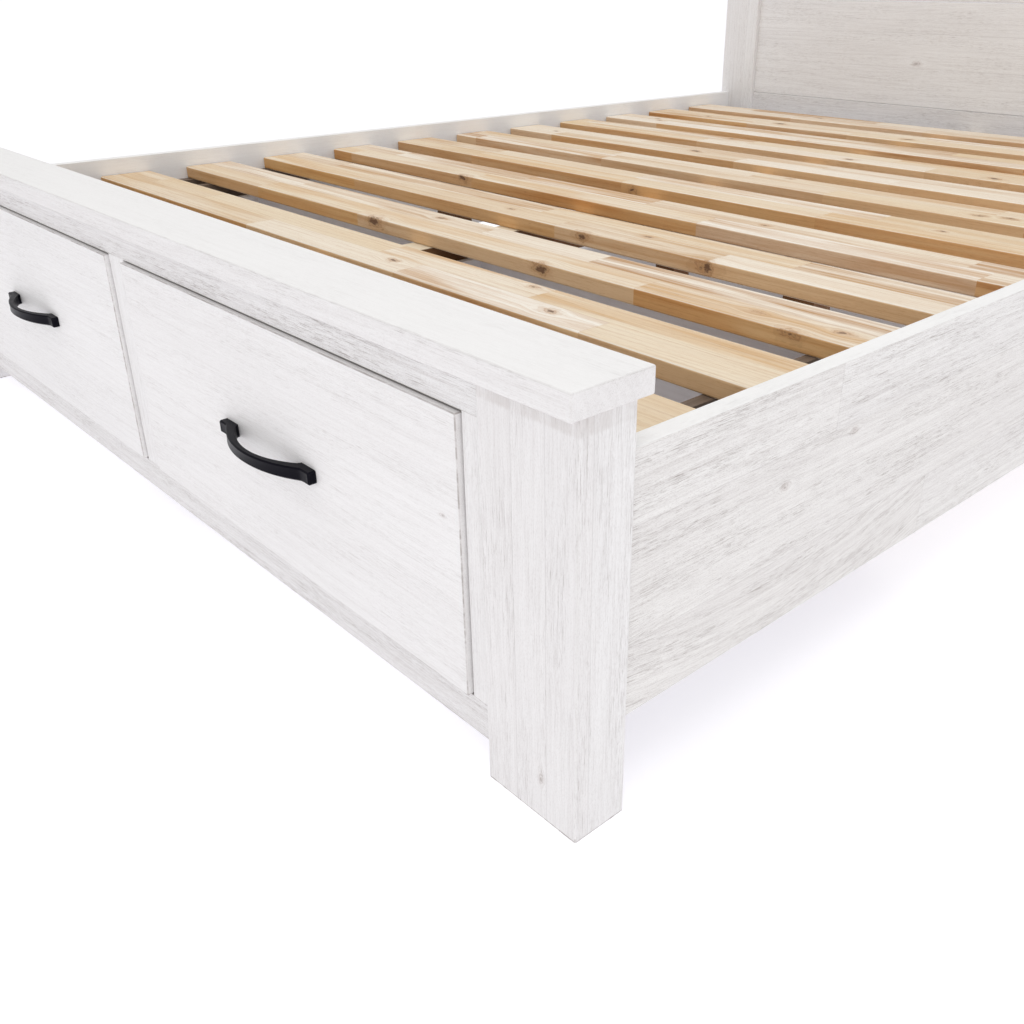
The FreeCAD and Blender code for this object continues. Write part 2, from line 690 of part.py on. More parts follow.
def export():
    """Check every object, then write one STEP file for each sub-part."""
    doc.recompute()
    for obj in doc.Objects:
        if "Invalid" in obj.State or "Error" in obj.State:
            raise RuntimeError(f"{obj.Name} failed: {obj.State}")
    for obj in subparts:
        if obj.Shape.isNull() or not obj.Shape.isValid():
            raise RuntimeError(f"{obj.Label} has no valid shape")
    for obj in subparts:
        obj.Shape.exportStep(f"parts/{obj.Label}.step")
        box = obj.Shape.BoundBox
        low = f"{box.XMin:9.1f} {box.YMin:9.1f} {box.ZMin:8.1f}"
        high = f"{box.XMax:9.1f} {box.YMax:9.1f} {box.ZMax:8.1f}"
        print(f"{obj.Label:26s} {low} {high}  solids {len(obj.Shape.Solids)}")
    print(len(subparts), "sub-parts")


make_posts()
make_cap("footboard_cap", f"{FOOT} - Size.cap_outer", "Size.foot_post_height")
make_cap("headboard_cap", f"{HEAD} - Size.cap_inner", "Size.head_post_height")
make_face_frame()
make_side_rails()
make_slats()
make_beam()
make_headboard()
make_housing()
make_fixed_runners()
make_brackets()
for drawer_name, drawer_side in SIDES.items():
    make_drawer(drawer_name, drawer_side)
export()
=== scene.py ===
"""Looks of a whitewashed queen bed frame with two drawers in its footboard."""
import math
import random

import bmesh
import bpy
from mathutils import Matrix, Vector


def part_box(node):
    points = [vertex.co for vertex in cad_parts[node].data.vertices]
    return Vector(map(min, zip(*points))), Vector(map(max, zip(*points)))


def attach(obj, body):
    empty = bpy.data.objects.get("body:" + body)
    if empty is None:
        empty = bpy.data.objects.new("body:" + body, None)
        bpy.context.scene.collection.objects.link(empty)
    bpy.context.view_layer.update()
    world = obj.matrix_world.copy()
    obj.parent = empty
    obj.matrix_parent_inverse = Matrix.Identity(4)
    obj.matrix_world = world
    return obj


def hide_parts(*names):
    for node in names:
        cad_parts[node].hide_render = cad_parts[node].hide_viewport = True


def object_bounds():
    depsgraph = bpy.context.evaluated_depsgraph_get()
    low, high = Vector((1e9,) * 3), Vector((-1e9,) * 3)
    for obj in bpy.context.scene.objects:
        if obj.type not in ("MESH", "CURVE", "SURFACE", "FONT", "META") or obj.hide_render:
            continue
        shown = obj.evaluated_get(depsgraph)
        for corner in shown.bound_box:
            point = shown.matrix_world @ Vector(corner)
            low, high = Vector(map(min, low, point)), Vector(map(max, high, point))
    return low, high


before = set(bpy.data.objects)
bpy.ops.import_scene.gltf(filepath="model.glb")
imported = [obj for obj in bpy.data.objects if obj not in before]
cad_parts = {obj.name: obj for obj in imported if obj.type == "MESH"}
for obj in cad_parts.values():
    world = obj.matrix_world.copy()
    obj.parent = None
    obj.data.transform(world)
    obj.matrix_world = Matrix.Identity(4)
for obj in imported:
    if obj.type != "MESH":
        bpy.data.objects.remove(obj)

CAD_BOX = [list(map(float, corner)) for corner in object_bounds()]
X, Y, Z = 0, 1, 2
MM = 0.001


# ---------------------------------------------------------------- camera and light

def aim(obj, forward):
    """Turn a camera or a lamp so that it looks along a direction, with no roll."""
    obj.rotation_euler = Vector(forward).to_track_quat("-Z", "Y").to_euler()


def make_camera():
    """Close to the foot post on the right, looking across the corner and down."""
    beside_post, before_post, eye_height = 0.4489, 0.4386, 0.6403
    heading, drop = math.radians(47.04), math.radians(26.83)
    data = bpy.data.cameras.new("camera")
    data.lens = 36.1
    data.sensor_width = 36
    data.shift_x = -0.0439
    data.shift_y = -0.0164
    data.clip_start = 0.02
    camera = bpy.data.objects.new("camera", data)
    bpy.context.scene.collection.objects.link(camera)
    low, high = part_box("foot_post_right")
    camera.location = (high.x + beside_post, low.y - before_post, eye_height)
    forward = (-math.sin(heading) * math.cos(drop), math.cos(heading) * math.cos(drop))
    aim(camera, (*forward, -math.sin(drop)))
    bpy.context.scene.camera = camera


def make_light():
    """A white studio dome with two wide soft lamps, one overhead and one behind the camera.
    The dome is pure white to the camera and weaker as a light."""
    world = bpy.data.worlds.new("studio")
    world.use_nodes = True
    background = world.node_tree.nodes["Background"]
    background.inputs["Color"].default_value = (1.0, 0.995, 0.99, 1)
    as_light, as_seen = 0.665, 1.0
    seen = world.node_tree.nodes.new("ShaderNodeLightPath").outputs["Is Camera Ray"]
    strength = world.node_tree.nodes.new("ShaderNodeMapRange")
    strength.inputs["To Min"].default_value = as_light
    strength.inputs["To Max"].default_value = as_seen
    world.node_tree.links.new(seen, strength.inputs["Value"])
    world.node_tree.links.new(strength.outputs[0], background.inputs["Strength"])
    bpy.context.scene.world = world
    # each lamp's place, direction, width in metres and power in watts
    lamps = {
        "overhead": ((0.2, -0.3, 3.4), (0, 0, -1), 4.0, 44.5),
        "behind_camera": ((3.6, -4.0, 2.6), (-0.66, 0.68, -0.45), 3.0, 39.5),
    }
    for name, (place, forward, size, power) in lamps.items():
        data = bpy.data.lights.new(name, "AREA")
        data.size = size
        data.energy = power
        lamp = bpy.data.objects.new(name, data)
        lamp.location = place
        aim(lamp, forward)
        bpy.context.scene.collection.objects.link(lamp)
    bpy.context.scene.view_settings.view_transform = "Standard"


# ---------------------------------------------------------------- node building

class Graph:
    """Short calls that add nodes to one material and return their output sockets."""

    def __init__(self, name):
        self.material = bpy.data.materials.new(name)
        self.material.use_nodes = True
        self.tree = self.material.node_tree
        self.shader = self.tree.nodes["Principled BSDF"]

    def add(self, kind, inputs=(), **settings):
        node = self.tree.nodes.new(kind)
        for key, value in settings.items():
            setattr(node, key, value)
        for key, value in dict(inputs).items():
            self.feed(node.inputs[key], value)
        return node

    def feed(self, socket, value):
        if isinstance(value, bpy.types.NodeSocket):
            self.tree.links.new(value, socket)
        else:
            socket.default_value = value

    def math(self, operation, a, b=0.0, clamp=False):
        node = self.add("ShaderNodeMath", {0: a, 1: b}, operation=operation, use_clamp=clamp)
        return node.outputs[0]

    def total(self, *values):
        result = values[0]
        for value in values[1:]:
            result = self.math("ADD", result, value)
        return result

    def product(self, *values):
        result = values[0]
        for value in values[1:]:
            result = self.math("MULTIPLY", result, value)
        return result

    def vector(self, operation, a, b=(0, 0, 0)):
        node = self.add("ShaderNodeVectorMath", {0: a, 1: b}, operation=operation)
        return node.outputs["Value" if operation == "LENGTH" else "Vector"]

    def split(self, vector):
        return self.add("ShaderNodeSeparateXYZ", {0: vector}).outputs

    def join(self, x, y, z):
        return self.add("ShaderNodeCombineXYZ", {0: x, 1: y, 2: z}).outputs[0]

    def noise(self, vector, stretch, detail, roughness):
        scaled = self.vector("MULTIPLY", vector, stretch)
        inputs = {"Vector": scaled, "Scale": 1.0, "Detail": detail, "Roughness": roughness}
        return self.add("ShaderNodeTexNoise", inputs).outputs["Fac"]

    def random(self, *numbers):
        """A random number and colour for each set of up to three whole numbers."""
        spot = self.join(*numbers, *([0.0] * (3 - len(numbers))))
        node = self.add("ShaderNodeTexWhiteNoise", {"Vector": spot}, noise_dimensions="3D")
        return node.outputs["Value"], node.outputs["Color"]

    def fade(self, value, start, end, low=0.0, high=1.0):
        """Smoothly from low to high as value goes from start to end."""
        inputs = {"Value": value, 1: start, 2: end, 3: low, 4: high}
        node = self.add("ShaderNodeMapRange", inputs, interpolation_type="SMOOTHSTEP")
        return node.outputs[0]

    def mix(self, factor, a, b, blend="MIX"):
        node = self.add("ShaderNodeMix", data_type="RGBA", blend_type=blend)
        for key, value in ((0, factor), (6, a), (7, b)):
            self.feed(node.inputs[key], (*value, 1) if isinstance(value, tuple) else value)
        return node.outputs[2]

    def ramp(self, value, colours):
        """One of a list of colours, spread evenly from 0 to 1."""
        node = self.add("ShaderNodeValToRGB", {0: value})
        elements = node.color_ramp.elements
        while len(elements) < len(colours):
            elements.new(0.5)
        for number, (element, colour) in enumerate(zip(elements, colours)):
            element.position = number / (len(colours) - 1)
            element.color = (*colour, 1)
        return node.outputs["Color"]

    def finish(self, colour, roughness, height=None, depth=0.0, **constants):
        """Wire the shader: colour, roughness and a bump of a depth in metres."""
        self.feed(self.shader.inputs["Base Color"], colour)
        self.feed(self.shader.inputs["Roughness"], roughness)
        if height is not None:
            inputs = {"Height": height, "Distance": depth, "Strength": 1.0}
            bump = self.add("ShaderNodeBump", inputs)
            self.feed(self.shader.inputs["Normal"], bump.outputs[0])
        for key, value in constants.items():
            self.shader.inputs[key.replace("_", " ")].default_value = value
        return self.material


# ---------------------------------------------------------------- wood

def board_frame(g, node, axes):
    """Coordinates along, across and through a board from its lowest corner, and its size."""
    low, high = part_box(node)
    place = g.add("ShaderNodeTexCoord").outputs["Object"]
    parts = g.split(g.vector("SUBTRACT", place, tuple(low)))
    size = [high[axis] - low[axis] for axis in axes]
    return [parts[axis] for axis in axes], size


def edge_distance(g, coords, size):
    """Distance from a point on the faces of a box to the nearest edge of that box."""
    gaps = [g.math("MINIMUM", c, g.math("SUBTRACT", s, c)) for c, s in zip(coords, size)]
    small = g.math("MINIMUM", gaps[0], gaps[1])
    large = g.math("MAXIMUM", gaps[0], gaps[1])
    return g.math("MAXIMUM", small, g.math("MINIMUM", large, gaps[2]))


def blocks(g, along, across, strip, length, seed):
    """Edge-glued strips of finger-jointed blocks: each block's random number and colour,
    and how near a point is to a joint, from 0 to 1."""
    lane = g.math("DIVIDE", across, strip)
    row = g.math("FLOOR", lane)
    shift = g.random(row, float(seed))[0]
    run = g.math("ADD", g.math("DIVIDE", along, length), g.product(shift, 9.0))
    cell = g.math("FLOOR", run)
    inside = g.math("SUBTRACT", run, cell)
    cut = g.product(g.random(cell, row, seed + 3.0)[0], 0.6)
    cell = g.math("SUBTRACT", cell, g.math("LESS_THAN", inside, cut))
    value, colour = g.random(cell, row, seed + 7.0)
    end_gap = g.product(g.math("ABSOLUTE", g.math("SUBTRACT", inside, cut)), length)
    side = g.math("ABSOLUTE", g.math("SUBTRACT", g.math("FRACT", lane), 0.5))
    side_gap = g.product(g.math("SUBTRACT", 0.5, side), strip)
    joint = g.fade(g.math("MINIMUM", end_gap, side_gap), 0.0, 0.7 * MM, 1.0, 0.0)
    return value, colour, joint


def patches(g, along, across, deep, seams, ends, layer, seed):
    """Boards glued at seams across the width and at (row, place) ends along it, on a core
    that starts at a depth: as blocks() otherwise."""
    row, cell, gap = 0.0, 0.0, 1.0
    for seam in seams:
        row = g.math("ADD", row, g.math("GREATER_THAN", across, seam))
        gap = g.math("MINIMUM", gap, g.math("ABSOLUTE", g.math("SUBTRACT", across, seam)))
    for number, end in ends:
        here = g.math("COMPARE", row, float(number))
        cell = g.math("ADD", cell, g.product(g.math("GREATER_THAN", along, end), here, 7.0))
        past = g.math("ABSOLUTE", g.math("SUBTRACT", along, end))
        gap = g.math("MINIMUM", gap, g.math("ADD", past, g.math("SUBTRACT", 1.0, here)))
    if layer:
        cell = g.math("ADD", cell, g.product(g.math("GREATER_THAN", deep, layer), 3.0))
        gap = g.math("MINIMUM", gap, g.math("ABSOLUTE", g.math("SUBTRACT", deep, layer)))
    value, colour = g.random(cell, row, float(seed))
    return value, colour, g.fade(gap, 0.2 * MM, 0.8 * MM, 1.0, 0.0)


def knot_field(g, coords, knots):
    """How far each point is inside a knot and in the stain round one, how much the grain
    bends, and the rings round the knot. A knot is (along, across, through, radius)."""
    core, stain, bend, swirl = 0.0, 0.0, 0.0, 0.0
    ragged = g.noise(g.join(*coords), (60, 110, 110), 3.0, 0.6)
    for along, across, deep, radius in knots:
        offset = g.vector("SUBTRACT", g.join(*coords), (along, across, deep))
        reach = g.vector("LENGTH", g.vector("MULTIPLY", offset, (0.55 / radius, *[1 / radius] * 2)))
        rough = g.math("ADD", reach, g.product(g.math("SUBTRACT", ragged, 0.5), 3.4))
        core = g.math("MAXIMUM", core, g.fade(rough, 0.85, 0.25))
        near = g.fade(rough, 2.4, 0.6)
        stain = g.math("MAXIMUM", stain, near)
        ripple = g.math("POWER", g.fade(g.math("SINE", g.product(rough, 7.5)), -0.2, 1.0), 2.0)
        swirl = g.math("MAXIMUM", swirl, g.product(ripple, near))
        side = g.product(g.split(offset)[1], g.fade(reach, 5.0, 0.6))
        bend = g.math("ADD", bend, side)
    return core, stain, bend, swirl


# How often each noise repeats along, across and through a board, per metre.
DRIFT = (1.6, 9.0, 9.0)
STREAKS = (5.0, 340.0, 340.0)
PORES = (85.0, 2100.0, 2100.0)
FIBRES = (26.0, 1900.0, 1900.0)


def grain(g, coords, offset, bend, ring, sway):
    """Growth rings, long streaks, short pores and fine fibres, each from 0 to 1, and the
    shifted place that they were taken at."""
    along, across, deep = coords
    shift = g.vector("MULTIPLY", offset, (7.0, 5.0, 3.0))
    spot = g.join(along, g.math("SUBTRACT", across, bend), deep)
    spot = g.vector("ADD", spot, shift)
    drift = g.noise(spot, DRIFT, 2.0, 0.45)
    parts = g.split(spot)
    section = g.total(parts[1], g.product(parts[2], 0.55), g.product(drift, sway * 6))
    wave = g.math("SINE", g.product(section, math.tau / ring))
    rings = g.math("ADD", g.product(wave, 0.5), 0.5)
    streaks = g.noise(spot, STREAKS, 3.0, 0.6)
    pores = g.noise(spot, PORES, 1.0, 0.5)
    fibres = g.noise(spot, FIBRES, 1.0, 0.5)
    return rings, streaks, pores, fibres, spot


CLUSTERS = (6.0, 60.0, 60.0)
CLOUDS = (1.3, 13.0, 13.0)
DASHES = (40.0, 1700.0, 1700.0)
SAND = (420.0, 1100.0, 1100.0)
RAGS = (18.0, 60.0, 60.0)

CLOUDED_WASH = (0.66, 0.63, 0.625)
GREY_GRAIN = (0.40, 0.355, 0.335)
GLUE_LINE = (0.42, 0.39, 0.38)
KNOT_HALO = (0.50, 0.38, 0.33)
KNOT_HEART = (0.27, 0.21, 0.19)
# Painted light and shade: the first is a painted shadow of the cap on the posts' tops, the second a
# brighter white painted on lit faces, the third a dark edge line of rubbed paint and painted joint
# shade, the last a near-black painted shade for the sides inside the gaps.
CAP_SHADOW_PAINT = (0.50, 0.45, 0.42)
LIT_FACE_WHITE = (0.94, 0.937, 0.935)
RUBBED_AND_SHADED_EDGE = (0.30, 0.26, 0.24)
GAP_SHADE_PAINT = (0.12, 0.095, 0.075)


def arch_bend(g, along, across, bend, arch):
    """Bend the grain into an arch round the place middle, up to the place end along the
    board and below the height top."""
    middle, end, top, curve = arch
    far = g.math("SUBTRACT", along, middle)
    inside = g.product(g.math("LESS_THAN", along, end), g.math("LESS_THAN", across, top))
    return g.math("ADD", bend, g.product(far, far, curve, inside))


def wash_colour(g, value, cloud, look, force):
    """The white of one board, between a brighter and a duller one, with faint clouds."""
    tone, warm = look.get("tone", 1.0), look.get("warm", 0.0)
    bright = tuple(tone * channel for channel in (0.89, 0.883, 0.88 - warm * 0.5))
    dull = tuple(tone * channel for channel in (0.87, 0.855, 0.850 - warm))
    pale = g.mix(value, bright, dull)
    return g.mix(g.fade(cloud, 0.35, 0.68, 0.0, 0.16 * force), pale, CLOUDED_WASH)


def whitewash(node, axes, seed, look):
    """Brushed hardwood under a thin white wash: grey grain, open pores, edges darkened partly by
    rubbing and partly as painted shade, a painted cap shadow, painted light on lit faces and painted
    shade in the gaps.
    """
    g = Graph("wash_" + node)
    coords, size = board_frame(g, node, axes)
    along, across, deep = coords
    seams, ends = look.get("seams", ()), look.get("ends", ())
    value, colour, joint = patches(g, *coords, seams, ends, look.get("layer"), seed)
    core, stain, bend, swirl = knot_field(g, coords, look.get("knots", ()))
    if "arch" in look:
        bend = arch_bend(g, along, across, bend, look["arch"])
    offset = g.vector("ADD", colour, (seed * 0.37, seed * 0.11, seed * 0.73))
    rings, streaks, pores, fibres, spot = grain(g, coords, offset, bend, 12 * MM, 13 * MM)
    force = look.get("grain", 1.0)
    cluster = g.fade(g.noise(spot, CLUSTERS, 2.0, 0.55), 0.38, 0.64, 0.28, 1.0)
    cloud = g.noise(spot, CLOUDS, 2.0, 0.5)
    dashes = g.noise(spot, DASHES, 1.0, 0.5)
    sand = g.noise(spot, SAND, 1.0, 0.5)
    open_pores = g.product(g.fade(pores, 0.57, 0.68), cluster, 0.40 * force)
    dashes = g.product(g.fade(dashes, 0.60, 0.70), cluster, 0.46 * force)
    soft = g.product(g.fade(streaks, 0.44, 0.76), 0.15 * force)
    bands = g.product(g.math("POWER", rings, 2.0), look.get("bands", 0.05) * force)
    thread = g.product(g.fade(fibres, 0.40, 0.70), 0.12 * force)
    speck = g.product(g.fade(sand, 0.46, 0.74), 0.17 * force)
    amount = g.math("ADD", g.total(open_pores, dashes, soft, bands, speck), thread, clamp=True)
    shade = g.mix(amount, wash_colour(g, value, cloud, look, force), GREY_GRAIN)
    shade = g.mix(g.product(joint, 0.20), shade, GLUE_LINE)
    shade = g.mix(g.product(stain, 0.12), shade, KNOT_HALO)
    knot = g.math("MAXIMUM", core, g.product(swirl, 0.6))
    shade = g.mix(g.product(knot, 0.5), shade, KNOT_HEART)
    ragged = g.fade(g.noise(spot, RAGS, 3.0, 0.7), 0.40, 0.62, 0.30, 1.0)
    # Painted shadow: the top of a post, just under the cap, is darkened in a ragged band for the
    # cap's shadow.
    if "cap_shadow_depth" in look:
        reach = g.total(along, g.product(fibres, 3 * MM), g.product(streaks, 4 * MM))
        limit = size[0] - look["cap_shadow_depth"]
        cap_shadow = g.fade(reach, limit, limit + 4 * MM, 0.0, 0.34)
        shade = g.mix(g.product(cap_shadow, ragged), shade, CAP_SHADOW_PAINT)
    # Painted light: the listed faces, the tops and the left rail's inner face, are mixed towards a
    # brighter white, as lit faces.
    for axis, strength in look.get("lit_faces", ()):
        top = g.fade(coords[axis], size[axis] - 1.0 * MM, size[axis] - 0.2 * MM, 0.0, strength)
        shade = g.mix(top, shade, LIT_FACE_WHITE)
    half_ease = look.get("ease", 0.0) / 2
    gap = edge_distance(g, coords, size)
    edge = g.fade(gap, half_ease + 0.2 * MM, half_ease + 0.7 * MM, 1.0, 0.0)
    # The edges are darkened along a ragged line: partly rubbed paint, partly painted shade for the
    # dark lines at the joints between boards, as under the cap.
    wear = look.get("wear", 0.35)
    if "foot_wear" in look:
        wear = g.fade(along, 3 * MM, 5 * MM, look["foot_wear"], wear)
    shade = g.mix(g.product(edge, ragged, wear), shade, RUBBED_AND_SHADED_EDGE)
    # Painted shade: the side faces inside the gaps round the drawers, deeper than a start depth, are
    # darkened to a near-black brown for the dark gaps.
    for axis, is_high, start, strength in look.get("gap_shade_sides", ()):
        gap = g.math("SUBTRACT", size[axis], coords[axis]) if is_high else coords[axis]
        gap_shade = g.product(g.fade(gap, 0.4 * MM, 0.2 * MM), g.fade(deep, start, start + 0.4 * MM))
        shade = g.mix(g.product(gap_shade, strength), shade, GAP_SHADE_PAINT)
    roughness = g.math("ADD", g.product(amount, 0.25), 0.50)
    height = g.math("SUBTRACT", 1.0, g.total(open_pores, dashes, thread, g.product(core, 0.4)))
    return g.finish(shade, roughness, height, 0.2 * MM, Specular_IOR_Level=0.35)


FLOW = (2.6, 36.0, 36.0)
FLAME = (4.0, 110.0, 110.0)

# The first is a painted shade line at the foot of each slat's front; the rest colour the knots.
SLAT_UNDERSIDE_SHADE = (0.36, 0.25, 0.16)
RUST_STAIN = (0.56, 0.33, 0.16)
SWIRL_BROWN = (0.40, 0.20, 0.09)
KNOT_BLACK = (0.15, 0.08, 0.045)


def raw_wood(name, node, axes, seed, look, knots=()):
    """Bare planed wood in glued blocks, with sapwood, heartwood, streaks and dark knots; on slats a
    painted highlight on the top front arris and a painted shade line at the foot of the front, and
    on the beam a painted lit top.
    """
    g = Graph(name)
    coords, size = board_frame(g, node, axes)
    along, across, deep = coords
    value, colour, joint = blocks(g, along, across, look["strip"], look["length"], seed)
    core, stain, bend, swirl = knot_field(g, coords, knots)
    offset = g.vector("ADD", colour, (seed * 0.31, seed * 0.17, seed * 0.59))
    rings, streaks, pores, fibres, spot = grain(g, coords, offset, bend, 8 * MM, 9 * MM)
    dice = g.split(colour)
    contrast = look.get("contrast", 1.0)
    sap, heart = g.ramp(value, look["sap"]), g.ramp(dice[0], look["heart"])
    flow = g.fade(g.noise(spot, FLOW, 2.0, 0.45), 0.42, 0.60)
    flame = g.fade(g.noise(spot, FLAME, 3.0, 0.55), 0.42, 0.62)
    part = g.math("ADD", g.total(g.product(flow, 0.56), g.product(flame, 0.44)), 0.06, clamp=True)
    depth = g.product(g.fade(dice[1], 0.0, 0.7, 0.18, 1.0), part)
    shade = g.mix(depth, sap, heart)
    amount = g.total(g.product(g.math("POWER", rings, 2.5), look.get("rings", 0.2)),
                     g.product(g.fade(streaks, 0.46, 0.76), 0.34),
                     g.product(g.fade(pores, 0.58, 0.74), 0.34),
                     g.product(g.fade(fibres, 0.4, 0.75), 0.10))
    amount = g.math("MULTIPLY", amount, contrast, clamp=True)
    shade = g.mix(amount, shade, look["dark"], "MULTIPLY")
    if "edge" in look:
        front = g.fade(across, 0.9 * MM, 0.3 * MM)
        gilt = g.product(front, g.fade(dice[2], 0.0, 1.0, 0.55, 1.0))
        shade = g.mix(gilt, shade, look["edge"], "MULTIPLY")
        # Painted highlight: a pale cream line along the top front arris of each slat.
        arris_highlight = g.product(g.fade(across, 2.2 * MM, 1.2 * MM),
                          g.fade(deep, size[2] - 1.8 * MM, size[2] - 0.9 * MM))
        shade = g.mix(g.product(arris_highlight, g.fade(streaks, 0.3, 0.6, 0.75, 0.25)), shade, look["sap"][0])
        # Painted shade: the lowest 3 mm of each slat's front face is darkened, for the shadow line
        # under the slat.
        foot = g.product(g.fade(deep, 3.0 * MM, 0.4 * MM), front)
        shade = g.mix(g.product(foot, 0.8), shade, SLAT_UNDERSIDE_SHADE, "MULTIPLY")
    # Painted light: the top 2 mm of a board with a top colour are made paler, as a lit top; only the
    # centre beam has one.
    if "top" in look:
        shade = g.mix(g.fade(deep, size[2] - 2 * MM, size[2] - 0.5 * MM), shade, look["top"])
    shade = g.mix(g.product(stain, 0.55), shade, RUST_STAIN)
    shade = g.mix(g.product(swirl, 0.54), shade, SWIRL_BROWN)
    shade = g.mix(g.product(core, 0.84), shade, KNOT_BLACK)
    shade = g.mix(g.product(joint, 0.30), shade, look["dark"], "MULTIPLY")
    roughness = g.math("ADD", g.product(amount, 0.2), look.get("gloss", 0.5))
    height = g.math("SUBTRACT", 1.0, g.total(amount, g.product(joint, 0.5), core))
    return g.finish(shade, roughness, height, 0.16 * MM, Specular_IOR_Level=0.35)


ACACIA = {
    "strip": 0.0481, "length": 0.42, "dark": (0.60, 0.40, 0.23), "edge": (0.97, 0.71, 0.38),
    "rings": 0.07,
    "sap": [(0.97, 0.93, 0.85), (0.83, 0.70, 0.51), (0.95, 0.89, 0.78), (0.78, 0.62, 0.42)],
    "heart": [(0.62, 0.38, 0.18), (0.78, 0.56, 0.32), (0.54, 0.31, 0.14), (0.82, 0.64, 0.40)],
}
FAR_ACACIA = {**ACACIA, "edge": (0.94, 0.68, 0.40)}
BROWN = {
    "strip": 0.09, "length": 0.7, "dark": (0.5, 0.4, 0.32), "gloss": 0.55,
    "sap": [(0.20, 0.095, 0.035), (0.26, 0.13, 0.055)],
    "heart": [(0.15, 0.065, 0.022), (0.22, 0.10, 0.04)],
}
# The centre beam's top is painted paler, as lit from above through the slats.
BEAM = {**BROWN, "top": (0.78, 0.68, 0.52)}
CLEAT = {
    "strip": 0.09, "length": 0.7, "dark": (0.55, 0.5, 0.45),
    "sap": [(0.17, 0.125, 0.095), (0.21, 0.16, 0.125)],
    "heart": [(0.12, 0.085, 0.062), (0.15, 0.11, 0.082)],
}
BOX = {
    "strip": 0.3, "length": 2.0, "dark": (0.84, 0.82, 0.82), "contrast": 0.6,
    "sap": [(0.90, 0.89, 0.93), (0.92, 0.91, 0.94)],
    "heart": [(0.87, 0.86, 0.90), (0.89, 0.88, 0.91)],
}


# ---------------------------------------------------------------- other materials

def plain(name, colour, roughness, grain_size, depth, low=0.82, **constants):
    """A fine speckled finish: painted iron, powder coat, zinc or sealed hardboard."""
    g = Graph(name)
    place = g.add("ShaderNodeTexCoord").outputs["Object"]
    scale = 1.0 / grain_size
    fine = g.noise(place, (scale, scale, scale), 3.0, 0.6)
    broad = g.noise(place, (scale * 0.06,) * 3, 2.0, 0.5)
    darker = tuple(channel * low for channel in colour)
    shade = g.mix(g.fade(fine, 0.3, 0.7), darker, colour)
    shade = g.mix(g.fade(broad, 0.35, 0.7, 0.0, 0.25), shade, darker)
    rough = g.math("ADD", g.product(broad, 0.16), roughness - 0.08)
    return g.finish(shade, rough, fine, depth, **constants)


def dress(node, material):
    """Put one material on every slot of a CAD node."""
    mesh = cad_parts[node].data
    mesh.materials.clear()
    mesh.materials.append(material)


# ---------------------------------------------------------------- boards of the bed

# The axes along, across and through each kind of board.
UPRIGHT, CROSS, LONG, FLAT, BEAM_WAY = (Z, X, Y), (X, Z, Y), (Y, Z, X), (X, Y, Z), (Y, X, Z)
SLAT_SEED, BOARD_SEED = 40, 70
FIRST_FAR_SLAT = 5


